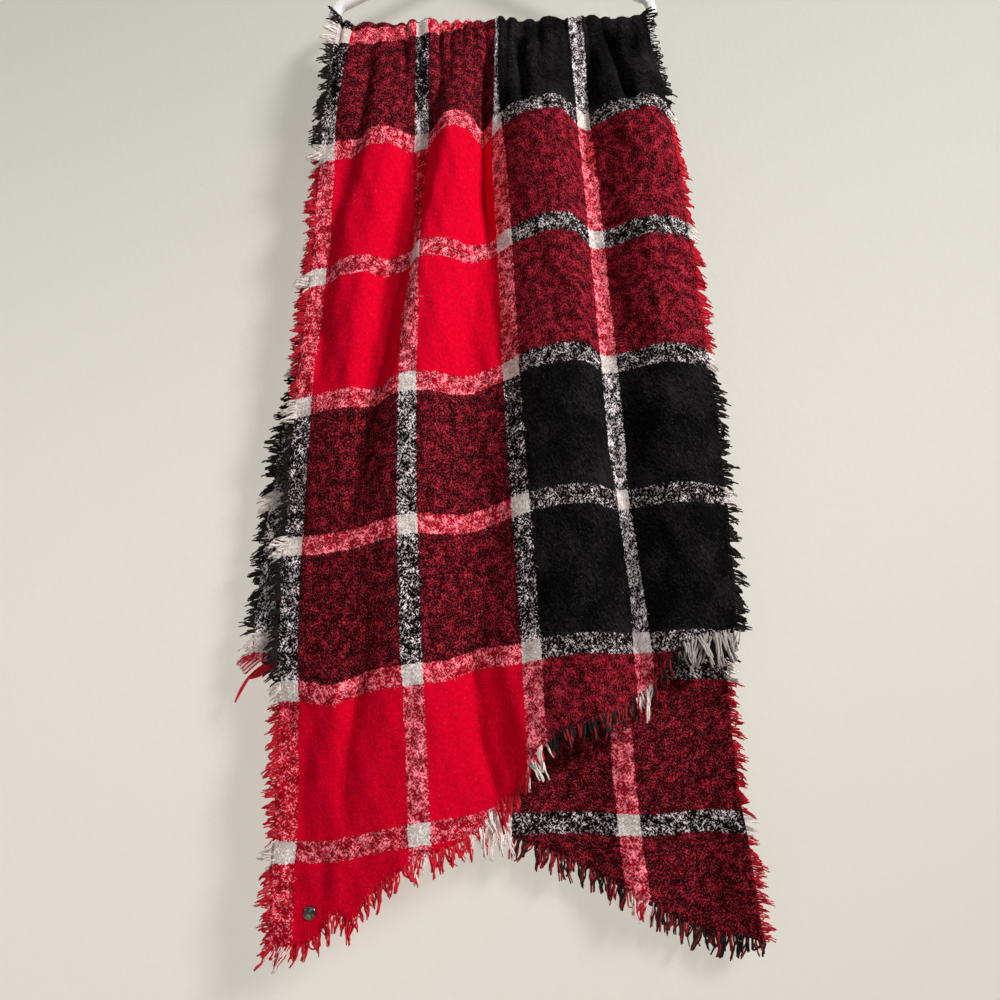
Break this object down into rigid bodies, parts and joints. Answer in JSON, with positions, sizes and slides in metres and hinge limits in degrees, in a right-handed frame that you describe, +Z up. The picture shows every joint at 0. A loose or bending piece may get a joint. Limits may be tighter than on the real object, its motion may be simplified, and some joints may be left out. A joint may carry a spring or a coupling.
{
  "type": "tartan blanket scarf on a clothes hanger",
  "caption": "Brushed tartan blanket scarf with slanted fringed ends, folded over the trouser bar of a plastic clothes hanger.",
  "frame": {"origin": "the inside top of the hanger's hook, where a rail holds it", "axes": "+X to the right along the bar, seen from the front, +Y from the front of the scarf to its back, +Z up"},
  "size_m": [0.6086, 0.0886, 1.396],
  "materials": {
    "plaid_cloth": "brushed twill in red, black and cream plaid, soft nap, no gloss",
    "fringe_yarn": "loose fluffy yarn in the colours of the plaid",
    "dark_metal": "dark gunmetal, worn satin",
    "white_plastic": "smooth white moulded plastic with a soft gloss"
  },
  "bodies": {
    "root": {"front_fall": "plaid_cloth", "over_bar": "plaid_cloth", "back_fall": "plaid_cloth", "front_left_fringe": "fringe_yarn", "front_right_fringe": "fringe_yarn", "front_end_fringe": "fringe_yarn", "back_left_fringe": "fringe_yarn", "back_right_fringe": "fringe_yarn", "back_end_fringe": "fringe_yarn", "metal_stud": "dark_metal", "hanger_frame": "white_plastic", "hanger_hook": "white_plastic"}
  },
  "joints": []
}
